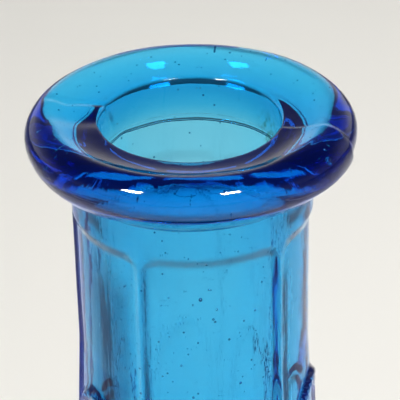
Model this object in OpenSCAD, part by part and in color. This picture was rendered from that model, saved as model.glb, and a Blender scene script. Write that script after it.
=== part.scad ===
// Antique six-sided glass bottle: a mould-blown body, an applied rolled lip and a pontil scar.
// Millimetres, +Z up out of the mouth, origin at the centre of the resting ring's plane.

/* [Overall] */
// Height from the table to the top of the lip
height = 220; // [200:1:270]
// Number of body sides, and of neck panels and arches
sides = 6; // [5:1:8]

/* [Body] */
// Width of the body across its flats
body_w = 57; // [50:0.5:70]
// Height of the straight sides, from the table to the foot of the shoulder
body_h = 112; // [90:1:130]
// Height of the shoulder, from the straight sides to the foot of the neck
shoulder_h = 36; // [28:1:44]
// How far the upright corners are cut back from a sharp edge
corner_cut = 2.2; // [1:0.1:3]
// Radius of the round between the sides and the base
heel_r = 4; // [2:0.5:5]
// Thickness of the glass behind the recessed windows
body_wall = 3.4; // [2.6:0.1:4.4]
// Thickness of the glass in the base
base_t = 7; // [5:0.5:10]

/* [Windows on the sides] */
// Distance from each window's upright edges to the corners of the sides
window_margin = 5; // [4:0.25:7]
// Height of the sill above the table
window_sill = 13; // [9:1:20]
// Distance from the window's point down from the foot of the shoulder
window_drop = 9; // [5:1:16]
// Depth of the window's recess
window_depth = 1.4; // [0.6:0.1:2]

/* [Base] */
// Radius of the push-up where it meets the table
kick_r = 18; // [14:0.5:21]
// Height of the push-up
kick_h = 8; // [5:0.5:11]
// Radius of the glass left by the pontil rod
scar_r = 6.5; // [5:0.25:8]
// Thickness of the glass left by the pontil rod
scar_t = 1.2; // [0.6:0.1:2]

/* [Neck] */
// Radius of the bore, from the mouth to the shoulder
bore_r = 8.4; // [6.6:0.1:9.2]
// Radius of the neck under the lip
neck_r = 11.35; // [10.6:0.05:13.8]
// How much the neck draws in at its waist
waist_in = 0.2; // [0.1:0.05:0.5]
// Distance of the waist below the top of the lip
waist_drop = 24; // [20:1:30]
// How much the neck widens where it meets the shoulder
neck_flare = 1.65; // [1:0.05:3]

/* [Neck panels] */
// Distance of the panels' top edge below the top of the lip
panel_drop = 10.1; // [8.5:0.1:14]
// Width of the upright rib between two panels
rib_w = 1; // [0.6:0.1:2]
// Radius of the panels' top corners
panel_corner = 1.2; // [0.5:0.1:2]
// Depth of the panels' recess
panel_depth = 0.6; // [0.3:0.05:1]

/* [Raised arches] */
// Distance of the arches' points below the top of the lip
arch_drop = 27; // [23:0.1:32]
// Distance between an arch and the upright edges of its panel
arch_margin = 0.95; // [0.6:0.05:2]
// How far an arch's foot stands above the shoulder
arch_foot_rise = 3; // [2:0.5:8]
// Width of the raised moulding that draws the arch
moulding_w = 1.1; // [0.8:0.1:1.6]
// How far the moulding stands proud
moulding_h = 0.55; // [0.3:0.05:0.9]

/* [Lip] */
// How far the lip reaches out past the neck
lip_reach = 4.05; // [3.3:0.05:5]
// Radius of the lip's rounded section
roll_r = 2.17; // [1.8:0.01:2.6]
// Angle below level at which the roll gives way to the straight flank down to the skirt's edge
flank_angle = 52; // [45:1:60]
// Distance that the top surface dips from the crown of the roll to the mouth
mouth_dip = 0.8; // [0.4:0.1:1.2]
// Radius that softens the edge of the mouth
mouth_round = 0.9; // [0.4:0.1:1.2]
// Distance of the skirt's edge below the top of the lip
skirt_drop = 6.4; // [5.8:0.1:8]
// Thickness of the flank's lower edge, which is the skirt
skirt_t = 0.32; // [0.2:0.02:0.6]
// Depth of the neck's end below the top of the lip
seat_drop = 4.7; // [4:0.1:5.2]

/* [Hidden] */
$fn = 96;

// Steps that draw one round stretch of a turned profile, and one swept curve of the shoulder
ARC_STEPS = 8;
CURVE_STEPS = 12;
// Overlap that carries a cut clear past the face it opens
PAST = 1;
// Share of the arch's half width that its centres stand past the middle line
POINTEDNESS = 0.25;

pitch = 360 / sides;
corner_r = body_w / 2 / cos(pitch / 2) - corner_cut;
waist_r = neck_r - waist_in;
neck_foot_r = neck_r + neck_flare;
lip_r = neck_r + lip_reach;
panel_half_w = neck_r * sin(pitch / 2 - asin(rib_w / 2 / neck_r));
arch_half_w = panel_half_w - arch_margin;
window_half_w = body_w / 2 * tan(pitch / 2) - window_margin;
neck_foot_z = body_h + shoulder_h;
waist_z = height - waist_drop;
seat_z = height - seat_drop;
skirt_z = height - skirt_drop;
mouth_z = height - mouth_dip;
panel_top_z = height - panel_drop;
arch_top_z = height - arch_drop;
arch_foot_z = neck_foot_z + arch_foot_rise;
inner_r = body_w / 2 - window_depth - body_wall;
scar_seat_r = scar_r + 1;
floor_corner_r = 7;
glass_blue = [0.10, 0.50, 0.78, 0.6];

// Points along a round stretch about a centre, between two angles
function arc(centre, r, from, to) =
    [for (i = [0:ARC_STEPS]) let (a = from + (to - from) * i / ARC_STEPS) centre + r * [cos(a), sin(a)]];

// Points of an ogee that runs smoothly from one radius and height to another
function ogee(r0, z0, r1, z1) =
    [for (i = [0:CURVE_STEPS]) let (t = i / CURVE_STEPS)
        [r1 + (r0 - r1) * (1 + cos(180 * t)) / 2, z0 + (z1 - z0) * t]];

// Outside of the blown glass as a turned profile, standing proud by a given amount
function outside(proud) = concat(
    [[0, 0]],
    arc([corner_r - heel_r, heel_r], heel_r + proud, -90, 0),
    ogee(corner_r + proud, body_h, neck_foot_r + proud, neck_foot_z),
    [[waist_r + proud, waist_z], [neck_r + proud, skirt_z], [neck_r + proud, seat_z], [0, seat_z]]);

// A pointed arch has two curves that meet at the point: its rise, and its right-hand curve from the spring
function arch_rise(half_w) = half_w * sqrt(1 + 2 * POINTEDNESS);
function arch_side(half_w, spring) =
    let (past = POINTEDNESS * half_w, r = half_w + past, end = acos(past / r))
    [for (i = [0:ARC_STEPS]) let (a = end * i / ARC_STEPS) [r * cos(a) - past, spring + r * sin(a)]];

// Closes a right-hand outline, which ends on the middle line, with its mirror image
function mirrored(right) =
    concat(right, [for (i = [len(right) - 2:-1:0]) [-right[i][0], right[i][1]]]);

module turned(points) {
    rotate_extrude() polygon(points);
}

// Stands a flat outline upright, facing out along one side of the bottle, from one depth to another
module facing_out(from, to) {
    translate([0, -from, 0]) rotate([90, 0, 0]) linear_extrude(height = to - from) children();
}

module around() {
    for (i = [0:sides - 1]) rotate([0, 0, i * pitch]) children();
}

module side_prism() {
    intersection_for (i = [0:sides - 1])
        rotate([0, 0, i * pitch])
            translate([-body_w, -body_w / 2, -PAST]) cube([2 * body_w, 2 * body_w, height + 2 * PAST]);
}

// The arch's outline, drawn in by a given amount
module arch_shape(inset) {
    half_w = arch_half_w - inset;
    polygon(mirrored(concat(
        [[half_w, arch_foot_z + inset]],
        arch_side(half_w, arch_top_z - inset - arch_rise(half_w)))));
}

module arch_moulding() {
    facing_out(bore_r + PAST, neck_foot_r + PAST) difference() {
        arch_shape(0);
        arch_shape(moulding_w);
    }
}

module window_cut() {
    spring = body_h - window_drop - arch_rise(window_half_w);
    facing_out(body_w / 2 - window_depth, body_w / 2 + PAST)
        polygon(mirrored(concat([[window_half_w, window_sill]], arch_side(window_half_w, spring))));
}

module panel_cut() {
    corner = panel_half_w - panel_corner;
    foot = neck_foot_z + arch_foot_rise / 2;
    difference() {
        facing_out(bore_r / 2, neck_foot_r + PAST) {
            translate([-panel_half_w, foot])
                square([2 * panel_half_w, panel_top_z - panel_corner - foot]);
            translate([-corner, foot]) square([2 * corner, panel_top_z - foot]);
            for (side = [-1, 1])
                translate([side * corner, panel_top_z - panel_corner]) circle(panel_corner);
        }
        turned(outside(-panel_depth));
    }
}

module cavity() {
    floor_z = kick_h + base_t;
    turned(concat(
        [[0, floor_z], [scar_seat_r, floor_z]],
        arc([inner_r - floor_corner_r, base_t + floor_corner_r], floor_corner_r, -90, 0),
        ogee(inner_r, body_h - PAST, bore_r, neck_foot_z),
        [[bore_r, height], [0, height]]));
}

module push_up() {
    reach = kick_r - scar_seat_r;
    turned(concat(
        [[0, -PAST], [kick_r, -PAST]],
        [for (p = arc([0, 0], 1, 0, 90)) [scar_seat_r + reach * p[0], kick_h * p[1]]],
        [[0, kick_h]]));
}

module blown_bottle() {
    color(glass_blue) difference() {
        union() {
            intersection() {
                side_prism();
                difference() {
                    turned(outside(0));
                    around() panel_cut();
                }
            }
            intersection() {
                turned(outside(moulding_h));
                around() arch_moulding();
            }
        }
        around() window_cut();
        cavity();
        push_up();
    }
}

module applied_lip() {
    roll = [lip_r - roll_r, height - roll_r];
    throat = [bore_r + mouth_round, mouth_z - mouth_round];
    skirt_r = neck_r + skirt_t;
    color(glass_blue) turned(concat(
        [[bore_r, seat_z]],
        arc(throat, mouth_round, 180, 90),
        arc(roll, roll_r, 90, -flank_angle),
        [[skirt_r, skirt_z], [neck_r, skirt_z], [neck_r, seat_z]]));
}

module pontil_scar() {
    color(glass_blue) translate([0, 0, kick_h - scar_t]) difference() {
        cylinder(r = scar_r, h = scar_t);
        translate([0, 0, -PAST]) cylinder(r = scar_r / 2, h = PAST + scar_t / 2);
    }
}

blown_bottle();
applied_lip();
pontil_scar();
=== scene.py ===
import logging
import math
import random
from dataclasses import dataclass, field
from enum import Enum
from typing import Callable, Sequence

import bpy
import numpy as np
from mathutils import Matrix, Vector, noise


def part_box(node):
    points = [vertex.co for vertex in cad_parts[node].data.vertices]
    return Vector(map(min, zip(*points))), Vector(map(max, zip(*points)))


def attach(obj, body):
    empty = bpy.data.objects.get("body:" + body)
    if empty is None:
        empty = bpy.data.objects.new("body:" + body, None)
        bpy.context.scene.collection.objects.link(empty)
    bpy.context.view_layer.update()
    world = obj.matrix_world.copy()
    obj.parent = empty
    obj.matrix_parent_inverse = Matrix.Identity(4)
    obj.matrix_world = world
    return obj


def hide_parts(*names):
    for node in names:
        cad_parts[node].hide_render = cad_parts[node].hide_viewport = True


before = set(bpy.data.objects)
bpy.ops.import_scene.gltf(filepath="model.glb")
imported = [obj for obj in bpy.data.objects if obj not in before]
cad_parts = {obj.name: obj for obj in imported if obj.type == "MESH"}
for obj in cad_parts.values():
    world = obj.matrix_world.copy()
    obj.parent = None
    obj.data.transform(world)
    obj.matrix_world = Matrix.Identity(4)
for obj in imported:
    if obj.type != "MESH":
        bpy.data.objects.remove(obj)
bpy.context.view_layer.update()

LOG = logging.getLogger("glass_bottle")
MM = 0.001
AXIS = (0.0, 0.0, 1.0)
WELD = 0.002
SMOOTH_UNDER = 50.0

Point = tuple[float, float]
Span = tuple[float, float]
Triple = tuple[float, float, float]
Field = np.ndarray


class Piece(Enum):
    """The bottle's separate pieces, by the name of the CAD node that each stands for."""

    BOTTLE = "blown_bottle"
    LIP = "applied_lip"
    SCAR = "pontil_scar"


def smooth(low: float, high: float, value: Field) -> Field:
    """Rises softly from 0 to 1 as the value goes from low to high."""
    t = np.clip((value - low) / (high - low), 0.0, 1.0)
    return t * t * (3.0 - 2.0 * t)


def arc(centre: Point, radius: float, start: float, end: float, steps: int) -> list[Point]:
    """Gives points along a round stretch of a profile.

    Args:
        centre: The centre's distance from the axis and height, in millimetres.
        radius: The radius in millimetres.
        start: The first angle in degrees, from straight out.
        end: The last angle in degrees.
        steps: How many stretches the arc is drawn with.

    Returns:
        The points, both ends included.
    """
    angles = (math.radians(start + (end - start) * i / steps) for i in range(steps + 1))
    return [(centre[0] + radius * math.cos(a), centre[1] + radius * math.sin(a)) for a in angles]


def bow(start: Point, leaving: Point, end: Point, arriving: Point, steps: int) -> list[Point]:
    """Gives the inner points of a smooth curve between two points.

    Args:
        start: Where it starts.
        leaving: The direction in which it leaves the start, of length 1.
        end: Where it ends.
        arriving: The direction in which it arrives at the end, of length 1.
        steps: How many stretches the curve is drawn with.

    Returns:
        The points between both ends, without the ends.
    """
    span = math.hypot(end[0] - start[0], end[1] - start[1])
    points = []
    for i in range(1, steps):
        t = i / steps
        a, b = 2 * t ** 3 - 3 * t ** 2 + 1, t ** 3 - 2 * t ** 2 + t
        c, d = 3 * t ** 2 - 2 * t ** 3, t ** 3 - t ** 2
        points.append(tuple(a * start[k] + b * span * leaving[k] + c * end[k] + d * span * arriving[k]
                            for k in (0, 1)))
    return points


def rows(start: float, end: float, spacing: float) -> list[float]:
    """Gives evenly spaced heights from start down or up to end, without the end itself."""
    count = max(1, round(abs(end - start) / spacing))
    return [start + (end - start) * i / count for i in range(count)]


def bell(value: Field, width: float) -> Field:
    """Gives 1 where the value is 0, and falls softly to 0 over about that width to each side."""
    return np.exp(-(value / width) ** 2)


@dataclass(frozen=True)
class Ripple:
    """A slow unevenness: its height, the size of its swells along x, y and z, and what sets it apart."""

    height: float
    scale: Triple
    seed: float

    def over(self, points: Field) -> Field:
        """Gives a value from about minus the height to the height for each point, all in millimetres."""
        at = points / np.array(self.scale) + self.seed
        return self.height * np.array([noise.noise(Vector(p)) for p in at])


# ---------------------------------------------------------------- shader drafting


class Socket:
    """An output of a shader node, on which arithmetic adds Math nodes."""

    def __init__(self, draft: "Draft", output: bpy.types.NodeSocket) -> None:
        """Wraps one output of a node in a draft."""
        self.draft = draft
        self.output = output

    def _math(self, operation: str, first: object, second: object) -> "Socket":
        """Adds one Math node on two values."""
        return self.draft.node("ShaderNodeMath", {"operation": operation}, {0: first, 1: second})

    def __add__(self, other: object) -> "Socket":
        """Adds a value to this one."""
        return self._math("ADD", self, other)

    def __radd__(self, other: object) -> "Socket":
        """Adds this value to another."""
        return self._math("ADD", other, self)

    def __sub__(self, other: object) -> "Socket":
        """Takes a value from this one."""
        return self._math("SUBTRACT", self, other)

    def __rsub__(self, other: object) -> "Socket":
        """Takes this value from another."""
        return self._math("SUBTRACT", other, self)

    def __mul__(self, other: object) -> "Socket":
        """Multiplies this value by another."""
        return self._math("MULTIPLY", self, other)

    def __lt__(self, other: object) -> "Socket":
        """Gives 1 where this value is the smaller, and 0 elsewhere."""
        return self._math("LESS_THAN", self, other)

    def __rmul__(self, other: object) -> "Socket":
        """Multiplies another value by this one."""
        return self._math("MULTIPLY", other, self)


class Draft:
    """A material or world that is being put together out of nodes."""

    def __init__(self, holder: bpy.types.Material | bpy.types.World) -> None:
        """Empties the nodes of a new material or world.

        Args:
            holder: The material or world that gets the nodes.
        """
        self.holder = holder
        self.holder.use_nodes = True
        self.tree = self.holder.node_tree
        self.tree.nodes.clear()

    def node(self, kind: str, settings: dict | None = None, inputs: dict | None = None,
             output: int | str = 0) -> Socket:
        """Adds a node of any type.

        Args:
            kind: The node's type name.
            settings: The node's own settings, which are set first.
            inputs: Values or sockets for its inputs, by name or number.
            output: The name or number of the output to hand back.

        Returns:
            That output, wrapped.
        """
        made = self.tree.nodes.new(kind)
        for key, value in (settings or {}).items():
            if key == "stops":
                self.fill_ramp(made.color_ramp, value)
            else:
                setattr(made, key, value)
        for key, value in (inputs or {}).items():
            if isinstance(value, Socket):
                self.tree.links.new(value.output, made.inputs[key])
            else:
                made.inputs[key].default_value = value
        return Socket(self, made.outputs[output]) if len(made.outputs) else Socket(self, None)

    @staticmethod
    def fill_ramp(ramp: bpy.types.ColorRamp, stops: Sequence[Span]) -> None:
        """Sets a ramp's grey stops, each a place and a value.

        Args:
            ramp: The ramp.
            stops: A place and a grey value from 0 to 1 for each stop.
        """
        while len(ramp.elements) < len(stops):
            ramp.elements.new(0.5)
        for element, (place, value) in zip(ramp.elements, stops):
            element.position = place
            element.color = (value, value, value, 1.0)

    def mix_colour(self, share: Socket, first: object, second: object) -> Socket:
        """Mixes two colours.

        Args:
            share: How much of the second shows, from 0 to 1.
            first: A colour or a socket.
            second: A colour or a socket.

        Returns:
            The mixed colour.
        """
        first, second = ((*c, 1.0) if isinstance(c, tuple) else c for c in (first, second))
        return self.node("ShaderNodeMix", {"data_type": "RGBA"}, {0: share, 6: first, 7: second}, output=2)

    def rise(self, value: Socket, low: float, high: float) -> Socket:
        """Rises softly from 0 to 1 as the value goes from low to high, both in millimetres."""
        return self.node("ShaderNodeMapRange", {"interpolation_type": "SMOOTHSTEP"},
                         {"Value": value, "From Min": low * MM, "From Max": high * MM})

    def apart(self, place: Socket, other: Triple) -> Socket:
        """Gives the distance from a place to another, which is given in millimetres."""
        return self.node("ShaderNodeVectorMath", {"operation": "DISTANCE"},
                         {0: place, 1: tuple(c * MM for c in other)}, output="Value")

    def grain(self, size: Triple, detail: float = 2.0) -> Socket:
        """Adds a noise on object coordinates.

        Args:
            size: The size of its features along x, y and z, in millimetres.
            detail: How many finer octaves it has.

        Returns:
            The noise, from 0 to 1.
        """
        place = self.node("ShaderNodeTexCoord", output="Object")
        stretched = self.node("ShaderNodeMapping", {"vector_type": "POINT"},
                              {"Vector": place, "Scale": tuple(1.0 / (s * MM) for s in size)})
        return self.node("ShaderNodeTexNoise", None,
                         {"Vector": stretched, "Scale": 1.0, "Detail": detail}, output="Fac")


# ---------------------------------------------------------------- finishes


@dataclass(frozen=True)
class TintedGlass:
    """Clear glass coloured all through, which darkens and deepens with its thickness."""

    name: str
    tint: Triple = (0.0, 0.80, 0.975)
    density: float = 550.0
    ior: float = 1.5
    gloss_low: float = 0.0
    gloss_high: float = 0.03
    pitting: float = 0.02
    pitting_fine: float = 0.04
    pitting_fine_mm: Triple = (0.25, 0.25, 0.25)
    rubbed_stops: tuple[Span, ...] = ((0.55, 0.0), (0.8, 1.0))
    grain_mm: Triple = (0.5, 0.5, 2.6)
    speck_cell_mm: float = 1.0
    speck_share: float = 0.4
    speck_radius: float = 0.1
    speck_colour: Triple = (0.02, 0.05, 0.09)
    clear_colour: Triple = (1.0, 1.0, 1.0)
    stain_place_mm: Triple = (7.73, 3.28, 215.5)
    stain_reach_mm: Span = (0.7, 2.4)
    stain_grain_mm: Triple = (0.6, 0.6, 0.9)
    stain_stops: tuple[Span, ...] = ((0.45, 0.0), (0.62, 1.0))
    stain_colour: Triple = (0.42, 0.36, 0.22)
    # Painted light: a faint blue emission that lightens the glass, which is no lamp.
    painted_glow: Triple = (0.0006, 0.003, 0.014)
    # Painted shade: dark upright streaks painted into the glass colour, standing in for dark surroundings
    # seen through the glass.
    painted_shade_streaks_mm: tuple[Triple, ...] = ()
    painted_streak_grain_mm: Triple = (0.3, 0.3, 7.0)
    painted_streak_stops: tuple[Span, ...] = ((0.34, 0.0), (0.45, 1.0))
    painted_streak_core: float = 0.55
    painted_shade_streak_colour: Triple = (0.004, 0.05, 0.08)
    # Painted shade: one broad, faint darker wash over the left panel, where the view through the glass is
    # darker.
    painted_shade_wash_mm: Triple | None = None
    painted_shade_wash_colour: Triple = (0.16, 0.42, 0.50)
    painted_streak_top_mm: Span = (204.5, 208.5)

    def build(self) -> bpy.types.Material:
        """Builds the material.

        Faces that carry the attribute "joint" lie against another piece of the same molten glass, so light
        goes straight through them.

        Returns:
            The finished material.
        """
        d = Draft(bpy.data.materials.new(self.name))
        swirl = d.grain(self.grain_mm)
        fine = d.grain(self.pitting_fine_mm, 3.0)
        rubbed = d.node("ShaderNodeValToRGB", {"stops": self.rubbed_stops}, {"Fac": swirl})
        roughness = rubbed * (self.gloss_high - self.gloss_low) + self.gloss_low
        height = swirl + fine * self.pitting_fine
        place = d.node("ShaderNodeTexCoord", output="Object")
        cell = {"Vector": place, "Scale": 1.0 / (self.speck_cell_mm * MM)}
        near = d.node("ShaderNodeTexVoronoi", None, cell, output="Distance")
        lot = d.node("ShaderNodeSeparateColor", None,
                     {"Color": d.node("ShaderNodeTexVoronoi", None, cell, output="Color")})
        speck = (near < self.speck_radius) * (lot < self.speck_share)
        patch = 1.0 - d.rise(d.apart(place, self.stain_place_mm), *self.stain_reach_mm)
        film = patch * d.node("ShaderNodeValToRGB", {"stops": self.stain_stops},
                              {"Fac": d.grain(self.stain_grain_mm, 3.0)})
        stained = d.mix_colour(film, self.clear_colour, self.stain_colour)
        # The painted shade streaks and the painted darker wash go into the base colour here.
        colour = self._paint_shade_streaks(d, place, d.mix_colour(speck, stained, self.speck_colour))
        uneven = d.node("ShaderNodeBump", None,
                        {"Strength": 1.0, "Distance": self.pitting * MM, "Height": height}, output="Normal")
        # The emission given to the glass below is painted light, a faint blue glow of the glass itself.
        glass = d.node("ShaderNodeBsdfPrincipled", None, {
            "Base Color": colour, "Transmission Weight": 1.0, "IOR": self.ior, "Roughness": roughness,
            "Normal": uneven, "Emission Color": (*self.painted_glow, 1.0), "Emission Strength": 1.0})
        through = d.node("ShaderNodeBsdfRefraction", None, {"Roughness": 0.0, "IOR": 1.0})
        joint = d.node("ShaderNodeAttribute", {"attribute_name": "joint"}, output="Fac")
        surface = d.node("ShaderNodeMixShader", None, {0: joint, 1: glass, 2: through})
        body = d.node("ShaderNodeVolumeAbsorption", None,
                      {"Color": (*self.tint, 1.0), "Density": self.density})
        d.node("ShaderNodeOutputMaterial", None, {"Surface": surface, "Volume": body})
        return d.holder

    def _paint_shade_streaks(self, d: Draft, place: Socket, colour: Socket) -> Socket:
        """Adds painted shade to the colour: dark upright streaks and one broad, faint darker wash, standing
        in for dark surroundings seen through the glass.

        Args:
            d: The material's draft.
            place: The object coordinates.
            colour: The colour so far.

        Returns:
            The colour with the painted shade in it.
        """
        if not self.painted_shade_streaks_mm or self.painted_shade_wash_mm is None:
            return colour
        level = d.node("ShaderNodeVectorMath", {"operation": "MULTIPLY"}, {0: place, 1: (1.0, 1.0, 0.0)},
                       output="Vector")
        height = d.node("ShaderNodeSeparateXYZ", None, {"Vector": place}, output="Z")
        below = 1.0 - d.rise(height, *self.painted_streak_top_mm)
        ragged = d.node("ShaderNodeValToRGB", {"stops": self.painted_streak_stops},
                        {"Fac": d.grain(self.painted_streak_grain_mm, 3.0)})
        # Painted shade: the broad darker wash over the left panel.
        colour = d.mix_colour(self._beside(d, level, self.painted_shade_wash_mm) * below, colour, self.painted_shade_wash_colour)
        # Painted shade: each dark upright streak darkens the colour below the neck's top.
        for painted_shade_band in self.painted_shade_streaks_mm:
            colour = d.mix_colour(self._beside(d, level, painted_shade_band) * below * ragged, colour, self.painted_shade_streak_colour)
        return colour

    def _beside(self, d: Draft, level: Socket, painted_shade_band: Triple) -> Socket:
        """Gives 1 close to an upright band of painted shade, given by its x, y and reach, and 0 beyond its
        reach.
        """
        x, y, reach = painted_shade_band
        return 1.0 - d.rise(d.apart(level, (x, y, 0.0)), reach * self.painted_streak_core, reach)


@dataclass(frozen=True)
class MattePaper:
    """Plain matte backdrop paper."""

    name: str = "backdrop_paper"
    colour: Triple = (0.86, 0.85, 0.815)
    roughness: float = 0.9
    sheen: float = 0.2

    def build(self) -> bpy.types.Material:
        """Builds the material and hands it back.

        Returns:
            The finished material.
        """
        d = Draft(bpy.data.materials.new(self.name))
        paper = d.node("ShaderNodeBsdfPrincipled", None, {
            "Base Color": (*self.colour, 1.0), "Roughness": self.roughness,
            "Specular IOR Level": self.sheen})
        d.node("ShaderNodeOutputMaterial", None, {"Surface": paper})
        return d.holder


# ---------------------------------------------------------------- bench work


class Bench:
    """The hand operations that every turned piece goes through."""

    @staticmethod
    def clear_selection() -> None:
        """Leaves edit mode and deselects everything."""
        if bpy.context.object and bpy.context.object.mode != "OBJECT":
            bpy.ops.object.mode_set(mode="OBJECT")
        bpy.ops.object.select_all(action="DESELECT")

    @classmethod
    def take(cls, *objects: bpy.types.Object) -> None:
        """Selects only these objects and makes the first the active one.

        Args:
            objects: The objects to select.
        """
        cls.clear_selection()
        for each in objects:
            each.select_set(True)
        bpy.context.view_layer.objects.active = objects[0]

    @classmethod
    def turn(cls, name: str, profile: Sequence[Point], segments: int) -> bpy.types.Object:
        """Draws a profile point by point and spins it once round the axis.

        Args:
            name: The new object's name.
            profile: Distances from the axis and heights, in millimetres.
            segments: How many steps the full turn takes.

        Returns:
            The turned skin, closed round the axis.
        """
        cls.clear_selection()
        first = Vector((profile[0][0], 0.0, profile[0][1])) * MM
        bpy.ops.mesh.primitive_plane_add(size=MM, location=first)
        made = bpy.context.object
        made.name = made.data.name = name
        bpy.ops.object.transform_apply(location=True, rotation=True, scale=True)
        bpy.ops.object.mode_set(mode="EDIT")
        bpy.ops.mesh.select_mode(type="VERT")
        bpy.ops.mesh.select_all(action="SELECT")
        bpy.ops.mesh.merge(type="CENTER")
        for here, there in zip(profile, profile[1:]):
            step = Vector((there[0] - here[0], 0.0, there[1] - here[1])) * MM
            bpy.ops.mesh.extrude_region_move(TRANSFORM_OT_translate={"value": step})
        bpy.ops.mesh.select_all(action="SELECT")
        bpy.ops.mesh.spin(steps=segments, angle=math.tau, center=(0.0, 0.0, 0.0), axis=AXIS)
        bpy.ops.mesh.select_all(action="SELECT")
        bpy.ops.mesh.remove_doubles(threshold=WELD * MM)
        bpy.ops.object.mode_set(mode="OBJECT")
        return made

    @staticmethod
    def points(piece: bpy.types.Object) -> Field:
        """Reads a mesh's points, in millimetres.

        Args:
            piece: The mesh object.

        Returns:
            One row for each point.
        """
        flat = np.empty(len(piece.data.vertices) * 3)
        piece.data.vertices.foreach_get("co", flat)
        return flat.reshape(-1, 3) / MM

    @staticmethod
    def press(piece: bpy.types.Object, points: Field) -> None:
        """Writes a mesh's points back, given in millimetres."""
        piece.data.vertices.foreach_set("co", (points * MM).ravel())
        piece.data.update()

    @classmethod
    def emboss(cls, piece: bpy.types.Object, name: str, weight: Field, height: float) -> None:
        """Raises or sinks part of a skin along its own normals, with a Displace modifier.

        Args:
            piece: The skin to shape.
            name: The vertex group's name.
            weight: How much of the height each point gets, from 0 to 1.
            height: The full height in millimetres, negative to sink.
        """
        group = piece.vertex_groups.new(name=name)
        for index in np.nonzero(weight > 0.001)[0]:
            group.add([int(index)], float(weight[index]), "REPLACE")
        cls.take(piece)
        push = piece.modifiers.new(name, "DISPLACE")
        push.vertex_group = name
        push.direction = "NORMAL"
        push.mid_level = 0.0
        push.strength = height * MM
        bpy.ops.object.modifier_apply(modifier=push.name)
        piece.vertex_groups.remove(piece.vertex_groups[name])

    @classmethod
    def close(cls, name: str, skins: Sequence[bpy.types.Object]) -> bpy.types.Object:
        """Joins skins into one closed solid with its faces outwards, and smooths it.

        Args:
            name: The finished piece's name.
            skins: The skins, whose open edges meet.

        Returns:
            The joined piece.
        """
        cls.take(*skins)
        if len(skins) > 1:
            bpy.ops.object.join()
        made = bpy.context.object
        made.name = made.data.name = name
        bpy.ops.object.mode_set(mode="EDIT")
        bpy.ops.mesh.select_all(action="SELECT")
        bpy.ops.mesh.remove_doubles(threshold=WELD * MM)
        bpy.ops.mesh.normals_make_consistent(inside=False)
        bpy.ops.object.mode_set(mode="OBJECT")
        bpy.ops.object.shade_smooth_by_angle(angle=math.radians(SMOOTH_UNDER))
        return made


@dataclass
class Seeds:
    """Small air bubbles caught in the glass, as hollows in a piece's own mesh."""

    count: int
    radius_mm: Span
    stretch: float = 1.3
    seed: int = 7

    def sprinkle(self, piece: bpy.types.Object, places: Callable[[random.Random], Vector],
                 extra: Sequence[tuple[Vector, float]] = ()) -> None:
        """Adds the bubbles to a piece.

        Args:
            piece: The closed glass that holds them.
            places: Draws one place inside the glass, in millimetres.
            extra: Chosen bubbles, each a place and a radius in millimetres.
        """
        draw = random.Random(self.seed)
        drawn = [(places(draw), draw.uniform(*self.radius_mm)) for _ in range(self.count)]
        Bench.clear_selection()
        bpy.ops.mesh.primitive_ico_sphere_add(subdivisions=1, radius=MM)
        master = bpy.context.object
        bpy.ops.object.mode_set(mode="EDIT")
        bpy.ops.mesh.select_all(action="SELECT")
        bpy.ops.mesh.subdivide(number_cuts=1, smoothness=1.0)
        bpy.ops.mesh.flip_normals()
        bpy.ops.object.mode_set(mode="OBJECT")
        bpy.ops.object.shade_smooth()
        bubbles = []
        for place, radius in [*drawn, *extra]:
            bubble = master.copy()
            bubble.data = master.data.copy()
            bpy.context.scene.collection.objects.link(bubble)
            tall = radius * draw.uniform(1.0, self.stretch)
            bubble.data.transform(Matrix.Diagonal((radius, radius, tall, 1.0)))
            bubble.data.transform(Matrix.Translation(place * MM))
            bubbles.append(bubble)
        bpy.data.objects.remove(master)
        Bench.take(piece, *bubbles)
        bpy.ops.object.join()


def mark_joint(piece: bpy.types.Object, touching: Callable[[Vector], bool]) -> None:
    """Marks the faces that are fused to another piece of glass.

    Args:
        piece: The finished piece.
        touching: Says whether a face's centre, in millimetres, lies in the fused area.
    """
    mark = piece.data.attributes.new("joint", "FLOAT", "FACE")
    for face in piece.data.polygons:
        mark.data[face.index].value = 1.0 if touching(face.center / MM) else 0.0


def around(point: Vector) -> float:
    """Gives a point's distance from the axis."""
    return math.hypot(point.x, point.y)


# ---------------------------------------------------------------- the bottle


@dataclass
class NeckSizes:
    """Sizes that the neck and the lip share, in millimetres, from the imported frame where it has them."""

    top: float
    lip_radius: float
    seat: float
    skirt: float
    bore_radius: float = 8.4
    lip_reach: float = 4.05
    mouth_dip: float = 0.8
    gap: float = 0.02

    @property
    def mouth(self) -> float:
        """The height of the mouth's edge, which lies lower than the crown of the roll."""
        return self.top - self.mouth_dip

    @property
    def radius(self) -> float:
        """The neck's radius under the lip."""
        return self.lip_radius - self.lip_reach

    @classmethod
    def from_frame(cls) -> "NeckSizes":
        """Reads the heights and the lip's radius from the CAD nodes' boxes.

        Returns:
            The sizes, in millimetres.
        """
        lip_low, lip_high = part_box(Piece.LIP.value)
        bottle_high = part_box(Piece.BOTTLE.value)[1]
        return cls(top=lip_high.z / MM, lip_radius=lip_high.x / MM, seat=bottle_high.z / MM,
                   skirt=lip_low.z / MM)


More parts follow.
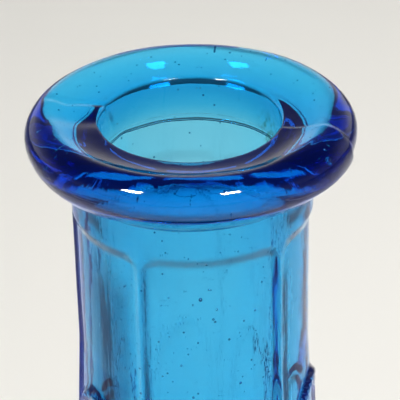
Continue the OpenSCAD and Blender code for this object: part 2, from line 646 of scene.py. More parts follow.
@dataclass
class BlownBottle:
    """The mould-blown bottle: six-sided body, ogee shoulder, panelled neck and the hollow inside.

    Sizes are in millimetres and angles in degrees. One turned skin, outside and inside, is pressed to six
    sides and embossed, and its neck is then drawn round a little. Rows are listed from their start height,
    each with its spacing. A pair is where a change starts and where it ends.
    """

    neck: NeckSizes
    finish: TintedGlass
    segments: int = 192
    crowding: float = 0.5
    # Body, shoulder and neck, as turned.
    flat_radius: float = 28.5
    corner_radius: float = 30.71
    body_top: float = 112.0
    neck_foot: float = 148.0
    neck_foot_radius: float = 13.0
    waist_height: float = 196.0
    waist_in: float = 0.2
    # Base and hollow.
    heel: float = 4.0
    kick_radius: float = 18.0
    kick_top_radius: float = 7.5
    kick_height: float = 8.0
    kick_flat: tuple[float, ...] = (0.0, 3.0, 6.0)
    standing_ring: tuple[Point, ...] = ((18.2, 0.15), (18.8, 0.0), (20.5, 0.0), (23.0, 0.0))
    cavity_radius: float = 23.7
    cavity_floor: float = 15.0
    floor_corner: float = 7.0
    floor_middle: float = 4.0
    lift_reach: float = 9.2
    # The neck's sunk panels.
    panel_half: float = 5.53
    panel_top: float = 209.9
    panel_foot: float = 149.5
    panel_corner: float = 1.3
    panel_depth: float = 0.38
    panel_extra: float = 0.02
    edge_soft: float = 0.17
    top_soft: float = 0.75
    top_blend: float = 0.6
    # The arches in the panels, and how far they and the panels are worn down at the back.
    arch_half: float = 4.286
    arch_top: float = 193.0
    arch_foot: float = 151.0
    arch_width: float = 1.1
    arch_height: float = 0.55
    arch_edge: Span = (-0.45, 0.3)
    back_from: Span = (95.0, 115.0)
    worn_back: float = 0.45
    worn_soft: float = 0.6
    # How the neck was drawn off the mould's even spacing.
    draw_from: Span = (-8.0, 14.0)
    draw_turn: float = 3.2
    draw_stretch: float = 11.6
    # One deeper run down the inside of the neck.
    run_bearing: float = -137.0
    run_width: float = 5.0
    run_height: float = 0.34
    run_wander: Ripple = Ripple(2.5, (9.0, 9.0, 12.0), 6.6)
    # The body's windows.
    window_half: float = 11.45
    window_sill: float = 13.0
    window_point: float = 103.0
    window_depth: float = 1.4
    window_edge: float = 0.8
    rim_offset: float = 1.6
    rim_half: Span = (0.2, 0.9)
    rim_height: float = 0.35
    # The two mould seams.
    seam_height: float = 0.1
    seam_half: float = 0.16
    seam_crest: float = 0.3
    seam_fade: float = 4.0
    seam_top: Span = (211.5, 213.2)
    # How the six sides are pressed.
    corner_blend: float = 0.18
    press_reach: float = 4.0
    widest: float = 29.0
    # The rows of points, up the outside and down the inside.
    outer_rows: tuple[Span, ...] = ((5.5, 1.4), (104.0, 1.1), (148.0, 0.8), (180.0, 0.36), (197.0, 0.5),
                                    (207.0, 0.2), (212.0, 0.4))
    inner_rows: tuple[Span, ...] = ((180.0, 1.4), (100.0, 2.6))
    inner_top_row: Span = (0.4, 0.8)
    # Unevenness of the outer skin and of the inner wall, and where both stay true.
    swell: tuple[Ripple, ...] = (Ripple(0.045, (5.0, 5.0, 11.0), 3.1), Ripple(0.014, (1.6, 1.6, 3.2), 8.7))
    drawn: tuple[Ripple, ...] = (Ripple(0.17, (5.5, 5.5, 14.0), 21.3), Ripple(0.09, (2.4, 2.4, 5.0), 4.4),
                                 Ripple(0.022, (0.9, 0.9, 2.4), 11.9))
    body_unevenness: float = 1.8
    still_top: Span = (211.6, 213.5)
    still_top_inside: Span = (213.2, 215.0)
    still_foot: Span = (0.5, 6.0)
    still_foot_inside: Span = (16.0, 22.0)
    # Small air bubbles.
    seeds: Seeds = field(default_factory=lambda: Seeds(count=300, radius_mm=(0.05, 0.11)))
    seeds_in_neck: float = 0.62
    seeds_neck: Span = (170.0, 212.5)
    seeds_body: Span = (20.0, 170.0)
    seeds_off_skin: Span = (0.5, 1.1)
    seeds_widest: float = 27.0
    large_seeds_radius: float = 9.6

    def outside(self, z: float) -> float:
        """Gives the outer radius at a height from the heel to the lip, before the six sides are pressed.

        Args:
            z: The height.

        Returns:
            The distance from the axis.
        """
        waist = self.neck.radius - self.waist_in
        if z <= self.body_top:
            return self.corner_radius
        if z <= self.neck_foot:
            t = (z - self.body_top) / (self.neck_foot - self.body_top)
            swing = (1.0 + math.cos(math.pi * t)) / 2.0
            return self.neck_foot_radius + (self.corner_radius - self.neck_foot_radius) * swing
        if z <= self.waist_height:
            t = (z - self.neck_foot) / (self.waist_height - self.neck_foot)
            return self.neck_foot_radius + (waist - self.neck_foot_radius) * t
        t = (z - self.waist_height) / (self.neck.skirt - self.waist_height)
        return waist + self.waist_in * t

    def inside(self, z: float) -> float:
        """Gives the cavity's radius at a height above its floor corner.

        Args:
            z: The height.

        Returns:
            The distance from the axis.
        """
        if z <= self.body_top - 1.0:
            return self.cavity_radius
        if z <= self.neck_foot:
            t = (z - self.body_top + 1.0) / (self.neck_foot - self.body_top + 1.0)
            swing = (1.0 + math.cos(math.pi * t)) / 2.0
            return self.neck.bore_radius + (self.cavity_radius - self.neck.bore_radius) * swing
        return self.neck.bore_radius

    @staticmethod
    def _heights(stretches: Sequence[Span], end: float) -> list[float]:
        """Gives the heights of a stack of rows.

        Args:
            stretches: The start height and the spacing of each stretch, in order.
            end: Where the last stretch ends.

        Returns:
            All heights in order, without the end itself.
        """
        ends = [*(start for start, _ in stretches[1:]), end]
        return [z for (start, spacing), stop in zip(stretches, ends) for z in rows(start, stop, spacing)]

    def _profile(self) -> list[Point]:
        """Draws the half-section of the glass, from the underside's middle round to the cavity floor's.

        Returns:
            Distances from the axis and heights.
        """
        start, reach = self.kick_top_radius, self.kick_radius - self.kick_top_radius
        line = [(r, self.kick_height) for r in self.kick_flat]
        line += [(start + (r - start) * reach, z * self.kick_height)
                 for r, z in arc((start, 0.0), 1.0, 90.0, 0.0, 10)[:-1]]
        line += self.standing_ring
        line += arc((self.corner_radius - self.heel, self.heel), self.heel, -90.0, 0.0, 7)
        line += [(self.outside(z), z) for z in self._heights(self.outer_rows, self.neck.skirt)]
        line += [(self.neck.radius, self.neck.skirt), (self.neck.radius, self.neck.seat)]
        line += [(self.neck.bore_radius, self.neck.seat)]
        down, spacing = self.inner_top_row
        inner = ((self.neck.seat - down, spacing), *self.inner_rows)
        line += [(self.inside(z), z) for z in self._heights(inner, self.floor_corner * 2.0)]
        line += arc((self.cavity_radius - self.floor_corner, self.floor_corner * 2.0), self.floor_corner,
                    0.0, -90.0, 8)
        foot, lift = self.floor_corner, self.cavity_floor - self.floor_corner
        line += [(start + (r - start) * self.lift_reach, foot + (z - foot) * lift)
                 for r, z in arc((start, foot), 1.0, 0.0, 90.0, 8)[1:]]
        return line + [(self.floor_middle, self.cavity_floor), (0.0, self.cavity_floor)]

    @staticmethod
    def _bearing(points: Field) -> Field:
        """Gives each point's angle in degrees round the bottle, from the front panel's middle."""
        return np.degrees(np.arctan2(points[:, 0], -points[:, 1]))

    @classmethod
    def _off_centre(cls, points: Field) -> Field:
        """Gives each point's angle in degrees from the middle of the nearest of the six sides."""
        return (cls._bearing(points) + 30.0) % 60.0 - 30.0

    def _crowd(self, skin: bpy.types.Object) -> None:
        """Moves the rows of points closer together along the six ribs, where the detail is.

        Args:
            skin: The skin to shape.
        """
        points = Bench.points(skin)
        bearing = np.radians(self._bearing(points))
        bearing += self.crowding / 6.0 * np.sin(6.0 * bearing)
        radius = np.hypot(points[:, 0], points[:, 1])
        points[:, 0], points[:, 1] = radius * np.sin(bearing), -radius * np.cos(bearing)
        Bench.press(skin, points)

    def _press_sides(self, skin: bpy.types.Object) -> None:
        """Presses the body and shoulder to six flat sides with softly cut corners.

        Args:
            skin: The skin to shape.
        """
        points = Bench.points(skin)
        radius = np.hypot(points[:, 0], points[:, 1])
        flat = self.flat_radius / np.cos(np.radians(self._off_centre(points)))
        blend = self.corner_blend
        pressed = -blend * np.logaddexp(-radius / blend, -flat / blend)
        near = flat - radius < self.press_reach
        scale = np.where(near & (radius > 1.0), pressed / np.maximum(radius, 1.0), 1.0)
        points[:, 0] *= scale
        points[:, 1] *= scale
        Bench.press(skin, points)

    def _on_outside(self, points: Field) -> Field:
        """Says which points belong to the outer skin, as 0 or 1.

        Args:
            points: The points, one row each.

        Returns:
            1 for a point of the outer skin and 0 for one of the inner.
        """
        radius = np.hypot(points[:, 0], points[:, 1])
        heights = points[:, 2]
        middle = np.array([(min(self.outside(z), self.widest) + self.inside(z)) / 2.0 for z in heights])
        return ((radius > middle) & (heights > 1.0)).astype(float)

    @staticmethod
    def _pointed(across: Field, up: Field, half: float, foot: float, point: float) -> Field:
        """Gives the distance outside a pointed arch's outline, negative inside it.

        Args:
            across: Distances from the arch's middle.
            up: Heights.
            half: Half of its width.
            foot: The height of its foot.
            point: The height of its point.

        Returns:
            The distances in millimetres.
        """
        centre, radius = 0.25 * half, 1.25 * half
        spring = point - math.sqrt(radius ** 2 - centre ** 2)
        side = np.abs(across)
        legs = side - half
        head = np.hypot(side + centre, up - spring) - radius
        return np.maximum(np.where(up > spring, head, legs), foot - up)

    def _emboss_neck(self, skin: bpy.types.Object) -> None:
        """Sinks the six neck panels and raises the arches and the two mould seams.

        Args:
            skin: The skin to shape.
        """
        points = Bench.points(skin)
        face = self._on_outside(points)
        turn, z = self._off_centre(points), points[:, 2]
        across = np.radians(turn) * self.neck.radius
        middle = (self.panel_top + self.panel_foot) / 2.0
        half_tall = self.panel_top - middle
        out_x = np.abs(across) - self.panel_half + self.panel_corner
        out_z = np.abs(z - middle) - half_tall + self.panel_corner
        beyond = np.hypot(np.maximum(out_x, 0.0), np.maximum(out_z, 0.0)) + np.minimum(
            np.maximum(out_x, out_z), 0.0) - self.panel_corner
        back = smooth(*self.back_from, np.abs(self._bearing(points)))
        soft = self.edge_soft + (self.top_soft - self.edge_soft) * smooth(
            -self.top_blend, self.top_blend, out_z - out_x)
        soft = np.maximum(soft, self.worn_soft * back)
        worn = 1.0 - (1.0 - self.worn_back) * back
        sunk = worn * (1.0 - smooth(-1.0, 1.0, beyond / soft))
        Bench.emboss(skin, "panels", face * sunk, -self.panel_depth)
        dished = sunk * np.clip(1.0 - (across / self.panel_half) ** 2, 0.0, 1.0)
        Bench.emboss(skin, "panel_dish", face * dished, -self.panel_extra)
        rim = self._pointed(across, z, self.arch_half, self.arch_foot, self.arch_top)
        half_rim = self.arch_width / 2.0
        raised = 1.0 - smooth(half_rim + self.arch_edge[0], half_rim + self.arch_edge[1],
                              np.abs(rim + half_rim))
        Bench.emboss(skin, "arches", face * raised * worn, self.arch_height)
        seam = np.abs((self._bearing(points) + 30.0 + 90.0) % 180.0 - 90.0)
        on_seam = 1.0 - smooth(self.seam_half * self.seam_crest, self.seam_half,
                               np.radians(seam) * self.neck.radius)
        tall = smooth(self.body_top, self.body_top + self.seam_fade, z) * (1.0 - smooth(*self.seam_top, z))
        Bench.emboss(skin, "mould_seams", face * on_seam * tall, self.seam_height)

    def _emboss_body(self, skin: bpy.types.Object) -> None:
        """Sinks a tall pointed window into each of the body's six sides.

        Args:
            skin: The skin to shape.
        """
        points = Bench.points(skin)
        face = self._on_outside(points) * (points[:, 2] < self.body_top)
        across = np.tan(np.radians(self._off_centre(points))) * self.flat_radius
        inside = self._pointed(across, points[:, 2], self.window_half, self.window_sill, self.window_point)
        Bench.emboss(skin, "windows", face * (1.0 - smooth(-self.window_edge, self.window_edge, inside)),
                     -self.window_depth)
        rim = 1.0 - smooth(*self.rim_half, np.abs(inside - self.rim_offset))
        Bench.emboss(skin, "window_rims", face * rim, self.rim_height)

    def _settle(self, skin: bpy.types.Object) -> None:
        """Gives both skins the gentle unevenness of blown glass, except where the lip is fused on.

        Args:
            skin: The skin to shape.
        """
        points = Bench.points(skin)
        face = self._on_outside(points)
        z = points[:, 2]
        outside = face * (1.0 - smooth(*self.still_top, z)) * smooth(*self.still_foot, z)
        inside = (1.0 - smooth(*self.still_top_inside, z)) * smooth(*self.still_foot_inside, z)
        size = np.where(z > self.neck_foot - 10.0, 1.0, self.body_unevenness)
        swell = sum(each.over(points) for each in self.swell)
        drawn = sum(each.over(points) for each in self.drawn)
        astray = self._bearing(points) - self.run_bearing - self.run_wander.over(points)
        drawn -= self.run_height * bell(astray, self.run_width) * (z > self.neck_foot)
        push = size * (outside * swell + (1.0 - face) * inside * drawn)
        radius = np.maximum(np.hypot(points[:, 0], points[:, 1]), 1.0)
        points[:, 0] *= 1.0 + push / radius
        points[:, 1] *= 1.0 + push / radius
        Bench.press(skin, points)

    def _draw_out(self, skin: bpy.types.Object) -> None:
        """Turns the neck off the mould's even spacing, with its front panels wider than its back ones.

        Args:
            skin: The skin to shape.
        """
        points = Bench.points(skin)
        bearing = np.radians(self._bearing(points))
        neck = smooth(*self.draw_from, points[:, 2] - self.neck_foot)
        bearing += neck * np.radians(self.draw_turn + self.draw_stretch * np.sin(bearing))
        radius = np.hypot(points[:, 0], points[:, 1])
        points[:, 0], points[:, 1] = radius * np.sin(bearing), -radius * np.cos(bearing)
        Bench.press(skin, points)

    def _seed_place(self, draw: random.Random) -> Vector:
        """Draws a place in the middle of the wall, most often in the neck.

        Args:
            draw: The source of the random draws.

        Returns:
            The place.
        """
        z = draw.uniform(*(self.seeds_neck if draw.random() < self.seeds_in_neck else self.seeds_body))
        bearing = draw.uniform(0.0, math.tau)
        outer = min(self.outside(z), self.seeds_widest) - self.seeds_off_skin[1]
        inner = self.inside(z) + self.seeds_off_skin[0]
        radius = inner + (outer - inner) * draw.random()
        return Vector((radius * math.sin(bearing), -radius * math.cos(bearing), z))

    def build(self) -> bpy.types.Object:
        """Builds the bottle.

        Returns:
            The finished closed piece.
        """
        skin = Bench.turn("bottle_skin", self._profile(), self.segments)
        self._crowd(skin)
        self._press_sides(skin)
        glass = Bench.close("bottle_glass", [skin])
        self._emboss_body(glass)
        self._emboss_neck(glass)
        self._draw_out(glass)
        self._settle(glass)
        self.seeds.sprinkle(glass, self._seed_place, self._large_seeds())
        low, high, out = self.neck.skirt - 0.01, self.neck.seat - 0.01, self.neck.radius - 0.05
        mark_joint(glass, lambda p: p.z > high or (p.z > low and around(p) > out)
                   or (abs(p.z - self.kick_height) < 0.02 and around(p) < self.kick_flat[-1]))
        return glass

    def _large_seeds(self) -> list[tuple[Vector, float]]:
        """Places the few larger bubbles of the front panel, each with its radius.

        Returns:
            Each bubble's place and radius.
        """
        chosen = [(-3.0, 205.6, 0.17), (3.5, 203.4, 0.12), (5.5, 204.4, 0.1), (1.5, 206.6, 0.1),
                  (12.0, 201.0, 0.11), (-14.0, 198.5, 0.1), (18.0, 196.0, 0.13), (-8.0, 195.0, 0.1)]
        out = self.large_seeds_radius
        return [(Vector((out * math.sin(math.radians(b)), -out * math.cos(math.radians(b)), z)), r)
                for b, z, r in chosen]

    def dress(self, piece: bpy.types.Object) -> None:
        """Gives the bottle its glass, hides its CAD node and ties it to the root body."""
        finish_piece(piece, self.finish, Piece.BOTTLE)


@dataclass
class AppliedLip:
    """The ring of glass that was laid round the mouth: thick roll, thin skirt and the lap of its end.

    Sizes are in millimetres. Bearings are degrees round the mouth from the front, and rolls are degrees
    round the roll from straight out. A pair is where a change starts and where it ends.
    """

    neck: NeckSizes
    finish: TintedGlass
    segments: int = 288
    # The section.
    roll_radius: float = 2.17
    throat_round: float = 0.42
    skirt_thick: float = 0.32
    skirt_edge: tuple[Point, ...] = ((0.06, 0.22), (0.0, 0.14), (-0.04, 0.05), (-0.14, 0.0))
    crown: float = 112.0
    crown_arrival: Point = (0.927, 0.375)
    flank_start: float = 51.0
    # The lap of the gather's end.
    lap_edge: float = 67.0
    lap_start: float = 24.0
    lap_height: float = 0.3
    lap_rise: float = 30.0
    lap_blend: float = 1.2
    lap_sway: float = 1.6
    lap_sway_pitch: float = 1.7
    lap_sway_start: float = 20.0
    lap_under: Span = (-60.0, -20.0)
    lap_inner: Span = (120.0, 175.0)
    lap_inner_loss: float = 0.8
    # The crease and the dent beside it.
    crease_bearing: float = -110.0
    crease_width: float = 2.0
    crease_lean: float = 0.22
    crease_turn: float = 130.0
    crease_from: Span = (60.0, 95.0)
    crease_depth: float = 0.16
    dent_bearing: float = -97.0
    dent_width: float = 9.0
    dent_from: Span = (70.0, 105.0)
    dent_to: Span = (165.0, 200.0)
    dent_depth: float = 0.22
    # Slow unevenness.
    wobble: Ripple = Ripple(0.1, (7.0, 7.0, 5.0), 5.5)
    trail: Ripple = Ripple(0.018, (1.0, 1.0, 1.0), 14.2)
    trail_size: Span = (9.0, 22.0)
    trail_radius: float = 13.0
    still_seat: Span = (0.1, 1.6)
    highest: float = 0.25
    # How far the flank hangs down, which fades out towards the back.
    sag_round: Span = (15.0, 60.0)
    sag_from_neck: Span = (0.25, 0.8)
    sag_from_skirt: Span = (0.0, 2.0)
    sag_front: float = 0.09
    sag_sides: float = 0.24
    sag_bearing: float = -6.0
    sag_back: Span = (95.0, 130.0)
    seeds: Seeds = field(default_factory=lambda: Seeds(count=70, radius_mm=(0.04, 0.09), seed=23))
    seeds_deep: float = 1.5
    seeds_inward: float = 0.6

    @property
    def roll_centre(self) -> Point:
        """The roll's centre, as a distance from the axis and a height."""
        return self.neck.lip_radius - self.roll_radius, self.neck.top - self.roll_radius

    def _profile(self) -> list[Point]:
        """Draws the lip's section, all the way round.

        Returns:
            Distances from the axis and heights.
        """
        seat, wall = self.neck.seat + self.neck.gap, self.neck.radius + self.neck.gap
        skirt = self.neck.radius + self.skirt_thick
        edge = [(skirt + out, self.neck.skirt + up) for out, up in self.skirt_edge]
        throat = (self.neck.bore_radius + self.throat_round, self.neck.mouth - self.throat_round)
        line = [(self.neck.bore_radius, seat)]
        line += [(self.neck.bore_radius, z) for z in rows(seat + 0.4, throat[1], 0.4)]
        line += arc(throat, self.throat_round, 180.0, 90.0, 8)
        roll = arc(self.roll_centre, self.roll_radius, self.crown, -self.flank_start, 42)
        line += bow(line[-1], (1.0, 0.0), roll[0], self.crown_arrival, 10)
        line += roll
        slope = math.radians(self.flank_start)
        downhill = (-math.sin(slope), -math.cos(slope))
        line += bow(line[-1], downhill, edge[0], downhill, 14)
        line += edge
        line += [(wall, self.neck.skirt), (wall, seat)]
        return line + [(self.neck.bore_radius, seat)]

    def _round_the_roll(self, points: Field) -> tuple[Field, Field]:
        """Gives each point's angle round the mouth and round the roll, in degrees.

        Args:
            points: The points, one row each.

        Returns:
            The angles round the mouth, from the front, and those round the roll, from straight out.
        """
        bearing = np.degrees(np.arctan2(points[:, 0], -points[:, 1]))
        out = np.hypot(points[:, 0], points[:, 1]) - self.roll_centre[0]
        around_roll = np.degrees(np.arctan2(points[:, 2] - self.roll_centre[1], out))
        return bearing, np.where(around_roll < -120.0, around_roll + 360.0, around_roll)

    def _work(self, skin: bpy.types.Object) -> None:
        """Raises the lap, and presses the crease, the dent and the roll's slow unevenness.

        Args:
            skin: The skin to shape.
        """
        points = Bench.points(skin)
        bearing, roll = self._round_the_roll(points)
        z = points[:, 2]
        free = smooth(*self.still_seat, z - self.neck.seat)
        sway = self.lap_sway * np.sin(np.radians(roll * self.lap_sway_pitch + self.lap_sway_start))
        edge = (self.lap_edge - self.lap_blend, self.lap_edge + self.lap_blend)
        lap = smooth(self.lap_start, self.lap_start + self.lap_rise, bearing)
        lap *= 1.0 - smooth(*edge, bearing + sway)
        lap *= smooth(*self.lap_under, roll) * (1.0 - self.lap_inner_loss * smooth(*self.lap_inner, roll))
        Bench.emboss(skin, "lap", free * lap, self.lap_height)
        path = self.crease_bearing - self.crease_lean * np.maximum(roll - self.crease_turn, 0.0)
        crease = bell(bearing - path, self.crease_width) * smooth(*self.crease_from, roll)
        Bench.emboss(skin, "crease", free * crease, -self.crease_depth)
        dent = bell(bearing - self.dent_bearing, self.dent_width)
        dent *= smooth(*self.dent_from, roll) * (1.0 - smooth(*self.dent_to, roll))
        Bench.emboss(skin, "dent", free * dent, -self.dent_depth)
        points = Bench.points(skin)
        hang = np.maximum(self.roll_centre[1] - z, 0.0) * smooth(*self.sag_from_skirt, z - self.neck.skirt)
        away_from_front = np.abs(bearing - self.sag_bearing)
        sag = self.sag_front + (self.sag_sides - self.sag_front) * smooth(*self.sag_round, away_from_front)
        sag *= 1.0 - smooth(*self.sag_back, away_from_front)
        past_neck = np.hypot(points[:, 0], points[:, 1]) - self.neck.radius
        points[:, 2] -= sag * hang * smooth(*self.sag_from_neck, past_neck)
        long, wide = self.trail_size
        turns = np.stack([np.radians(bearing) * self.trail_radius / long, roll / wide, 0.0 * z], axis=1)
        push = free * (self.wobble.over(points) + self.trail.over(turns))
        away = np.stack([points[:, 0], points[:, 1], np.zeros(len(z))], axis=1)
        away /= np.maximum(np.linalg.norm(away, axis=1, keepdims=True), 1.0)
        angle = np.radians(roll)[:, None]
        points += push[:, None] * (away * np.cos(angle) + np.array((0.0, 0.0, 1.0)) * np.sin(angle))
        points[:, 2] = np.minimum(points[:, 2], self.neck.top + self.highest)
        Bench.press(skin, points)

    def _seed_place(self, draw: random.Random) -> Vector:
        """Draws a place inside the roll.

        Args:
            draw: The source of the random draws.

        Returns:
            The place.
        """
        bearing, angle = draw.uniform(0.0, math.tau), draw.uniform(0.0, math.tau)
        deep = self.seeds_deep * math.sqrt(draw.random())
        radius = self.roll_centre[0] - self.seeds_inward + deep * math.cos(angle)
        return Vector((radius * math.sin(bearing), -radius * math.cos(bearing),
                       self.roll_centre[1] + deep * math.sin(angle)))

    def _large_seeds(self) -> list[tuple[Vector, float]]:
        """Places the one big bubble by the lap and a few middling ones, each with its radius.

        Returns:
            Each bubble's place and radius.
        """
        chosen = [(50.0, 30.0, 1.75, 0.36), (-65.0, 54.0, 1.7, 0.12), (-47.0, 56.0, 1.7, 0.12),
                  (52.0, 60.0, 1.6, 0.12), (58.0, 75.0, 1.5, 0.1)]
        places = []
        for bearing, roll, deep, radius in chosen:
            turn, tilt = math.radians(bearing), math.radians(roll)
            out = self.roll_centre[0] + deep * math.cos(tilt)
            place = Vector((out * math.sin(turn), -out * math.cos(turn),
                            self.roll_centre[1] + deep * math.sin(tilt)))
            places.append((place, radius))
        return places

    def build(self) -> bpy.types.Object:
        """Builds the lip.

        Returns:
            The finished closed piece.
        """
        skin = Bench.turn("lip_skin", self._profile(), self.segments)
        glass = Bench.close("lip_glass", [skin])
        self._work(glass)
        self.seeds.sprinkle(glass, self._seed_place, self._large_seeds())
        level, wall = self.neck.seat + self.neck.gap + 0.01, self.neck.radius + self.neck.gap + 0.03
        mark_joint(glass, lambda p: around(p) < wall and p.z < level and p.z > self.neck.skirt + 0.01)
        return glass

    def dress(self, piece: bpy.types.Object) -> None:
        """Gives the lip its glass, hides its CAD node and ties it to the root body."""
        finish_piece(piece, self.finish, Piece.LIP)


@dataclass
class PontilScar:
    """The rough mark left under the base where the iron was broken off. Sizes are in millimetres."""

    finish: TintedGlass
    segments: int = 96
    radius: float = 6.4
    ring: float = 3.4
    low: float = 6.85
    high: float = 7.98
    torn: Ripple = Ripple(0.14, (0.8, 0.8, 4.0), 2.2)
    ragged: Ripple = Ripple(0.05, (2.0, 2.0, 2.0), 9.0)

    def _profile(self) -> list[Point]:
        """Draws the scar's half-section: a broken ring round a shallow hollow.

        Returns:
            Distances from the axis and heights.
        """
        crest = (self.radius + self.ring) / 2.0
        line = [(0.0, self.high - 0.45), (1.6, self.high - 0.45), (self.ring - 0.6, self.high - 0.5)]
        line += [(self.ring, self.low + 0.35), (crest - 0.7, self.low + 0.06), (crest, self.low)]
        line += [(crest + 0.8, self.low + 0.1), (self.radius - 0.3, self.low + 0.4)]
        line += [(self.radius, self.high - 0.2)]
        return line + [(r, self.high) for r in (self.radius, crest, self.ring, 0.0)]

    def build(self) -> bpy.types.Object:
        """Builds the scar.

        Returns:
            The finished closed piece.
        """
        glass = Bench.close("scar_glass", [Bench.turn("scar_skin", self._profile(), self.segments)])
        points = Bench.points(glass)
        hanging = 1.0 - smooth(self.high - 0.3, self.high - 0.05, points[:, 2])
        points[:, 2] += hanging * np.abs(self.torn.over(points))
        points[:, :2] *= 1.0 - hanging[:, None] * np.abs(self.ragged.over(points))[:, None]
        Bench.press(glass, points)
        mark_joint(glass, lambda p: p.z > self.high - 0.02)
        return glass

    def dress(self, piece: bpy.types.Object) -> None:
        """Gives the scar its frosted glass, hides its CAD node and ties it to the root body."""
        finish_piece(piece, self.finish, Piece.SCAR)


def finish_piece(piece: bpy.types.Object, finish: TintedGlass, node: Piece) -> None:
    """Gives a piece its material, hides the CAD node that it replaces and ties it to the root body.

    Args:
        piece: The finished piece.
        finish: Its glass.
        node: The CAD node that it replaces.
    """
    piece.data.materials.clear()
    piece.data.materials.append(finish.build())
    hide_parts(node.value)
    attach(piece, "root")


# ---------------------------------------------------------------- the studio


@dataclass(frozen=True)
class Beam:
    """Where a lamp points in metres, its power in watts and how far its light spreads in degrees."""

    aim: Triple
    power: float
    spread: float


@dataclass(frozen=True)
class Lamp:
    """A soft square lamp. Its place is given in metres as seen from the camera's side."""

    name: str
    place: Triple
    beam: Beam
    size: float = 0.26
    colour: Triple = (1.0, 0.99, 0.97)

    def hang(self, swing: Matrix) -> None:
        """Adds the lamp.

        Args:
            swing: Turns the camera's side to where the camera stands.
        """
        Bench.clear_selection()
        place, aim = swing @ Vector(self.place), swing @ Vector(self.beam.aim)
        turn = (aim - place).to_track_quat("-Z", "Y").to_euler()
        bpy.ops.object.light_add(type="AREA", location=place, rotation=turn)
        lamp = bpy.context.object
        lamp.name = lamp.data.name = self.name
        lamp.data.shape = "SQUARE"
        lamp.data.size = self.size
        lamp.data.energy = self.beam.power
        lamp.data.spread = math.radians(self.beam.spread)
        lamp.data.color = self.colour


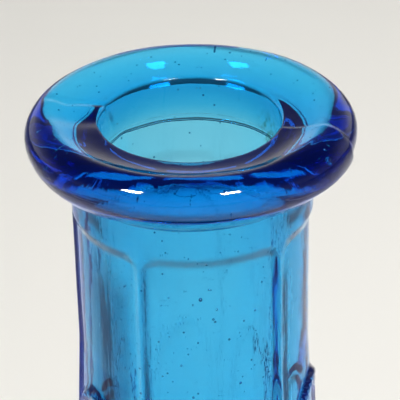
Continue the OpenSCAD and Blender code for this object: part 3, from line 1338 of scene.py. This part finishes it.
@dataclass
class Studio:
    """The pale floor, the soft lights and the camera. Distances are in metres and angles in degrees."""

    neck: NeckSizes
    paper: MattePaper
    azimuth: float = -6.0
    elevation: float = 28.9
    distance: float = 0.330
    roll: float = -1.33
    view_width: float = 0.037464
    film_width: float = 36.0
    nearest: float = 0.01
    aim_right: float = 0.000695
    aim_below_mouth: float = 0.0087
    sky: tuple[Span, ...] = ((0.0, 0.76), (0.15, 0.74), (0.33, 0.30), (0.50, 0.08), (0.72, 0.03))
    sky_round: tuple[Span, ...] = ((0.30, 0.30), (0.60, 0.28), (0.84, 1.0))
    sky_colour: Triple = (1.0, 0.985, 0.94)
    floor_size: float = 6.0
    bounces: int = 32
    bounces_in_glass: int = 28
    bounces_clear: int = 16
    left: Triple = (-0.65, -0.63, 1.10)
    right: Triple = (0.45, -0.78, 1.10)
    key: Beam = Beam(aim=(0.08, 0.38, 0.0), power=0.74, spread=40.0)
    fill: Beam = Beam(aim=(0.0, 0.0, 0.1), power=3.2, spread=160.0)

    @property
    def lamps(self) -> tuple[Lamp, ...]:
        """The narrow lamps, which light the floor behind the bottle, and the wide ones beside them."""
        return (Lamp("key_left", self.left, self.key), Lamp("key_right", self.right, self.key),
                Lamp("fill_left", self.left, self.fill), Lamp("fill_right", self.right, self.fill))

    @property
    def swing(self) -> Matrix:
        """The turn about the axis that carries the front to the camera's side."""
        return Matrix.Rotation(math.radians(self.azimuth), 4, "Z")

    def lay_floor(self) -> None:
        """Lays a wide flat sheet of pale paper for the bottle to stand on."""
        Bench.clear_selection()
        bpy.ops.mesh.primitive_plane_add(size=self.floor_size, location=(0.0, 0.0, 0.0))
        floor = bpy.context.object
        floor.name = floor.data.name = "backdrop"
        floor.data.materials.append(self.paper.build())

    def light(self) -> None:
        """Sets the plain surroundings, brightest low down behind the bottle, and hangs the lamps."""
        world = bpy.data.worlds.new("surroundings")
        d = Draft(world)
        towards = d.node("ShaderNodeTexCoord", output="Generated")
        up = d.node("ShaderNodeSeparateXYZ", None, {"Vector": towards}, output="Z")
        behind = d.node("ShaderNodeSeparateXYZ", None, {"Vector": towards}, output="Y")
        by_height = d.node("ShaderNodeValToRGB", {"stops": self.sky}, {"Fac": up})
        by_side = d.node("ShaderNodeValToRGB", {"stops": self.sky_round}, {"Fac": 0.5 + behind * 0.5})
        shade = d.node("ShaderNodeBackground", None,
                       {"Color": (*self.sky_colour, 1.0), "Strength": by_height * by_side})
        d.node("ShaderNodeOutputWorld", None, {"Surface": shade})
        bpy.context.scene.world = world
        for lamp in self.lamps:
            lamp.hang(self.swing)

    def set_camera(self) -> None:
        """Stands the camera in front of the mouth, looking down at it."""
        tilt, lean = math.radians(self.elevation), math.radians(self.roll)
        ahead = Vector((0.0, math.cos(tilt), -math.sin(tilt)))
        right = Vector((1.0, 0.0, 0.0))
        up = right.cross(ahead)
        across = math.cos(lean) * right + math.sin(lean) * up
        upright = math.cos(lean) * up - math.sin(lean) * right
        aim = Vector((self.aim_right, 0.0, self.neck.mouth * MM - self.aim_below_mouth))
        place = aim - ahead * self.distance
        stand = Matrix((across, upright, -ahead)).transposed().to_4x4()
        stand.translation = place
        bpy.ops.object.camera_add()
        camera = bpy.context.object
        camera.matrix_world = self.swing @ stand
        camera.data.sensor_width = self.film_width
        camera.data.lens = self.film_width * self.distance / self.view_width
        camera.data.clip_start = self.nearest
        bpy.context.scene.camera = camera

    def set_up(self) -> None:
        """Sets up the whole studio, with enough light bounces for thick glass."""
        self.lay_floor()
        self.light()
        self.set_camera()
        scene = bpy.context.scene
        scene.view_settings.view_transform = "Standard"
        scene.cycles.max_bounces = self.bounces
        scene.cycles.transmission_bounces = self.bounces_in_glass
        scene.cycles.transparent_max_bounces = self.bounces_clear


def main() -> None:
    """Builds the bottle piece by piece, dresses it and sets up the studio."""
    logging.basicConfig(level=logging.INFO, format="%(name)s: %(message)s")
    neck = NeckSizes.from_frame()
    # The bottle glass carries painted shade: dark upright streaks and a broad darker wash on the left
    # panel.
    blue = TintedGlass("blue_bottle_glass", painted_shade_streaks_mm=((-9.1, -6.0, 1.1), (7.6, -7.9, 0.75)),
                       painted_shade_wash_mm=(-9.2, -6.6, 3.6))
    lip_blue = TintedGlass("blue_lip_glass", density=640.0, gloss_low=0.035, gloss_high=0.08,
                           grain_mm=(2.0, 2.0, 1.2), speck_share=0.15)
    frosted = TintedGlass("broken_blue_glass", gloss_low=0.35, gloss_high=0.6, pitting=0.12)
    makers = (BlownBottle(neck, blue), AppliedLip(neck, lip_blue), PontilScar(frosted))
    for maker in makers:
        piece = maker.build()
        maker.dress(piece)
        LOG.info("%s: %d points, %d faces", piece.name, len(piece.data.vertices), len(piece.data.polygons))
    Studio(neck, MattePaper()).set_up()


if __name__ == "__main__":
    main()
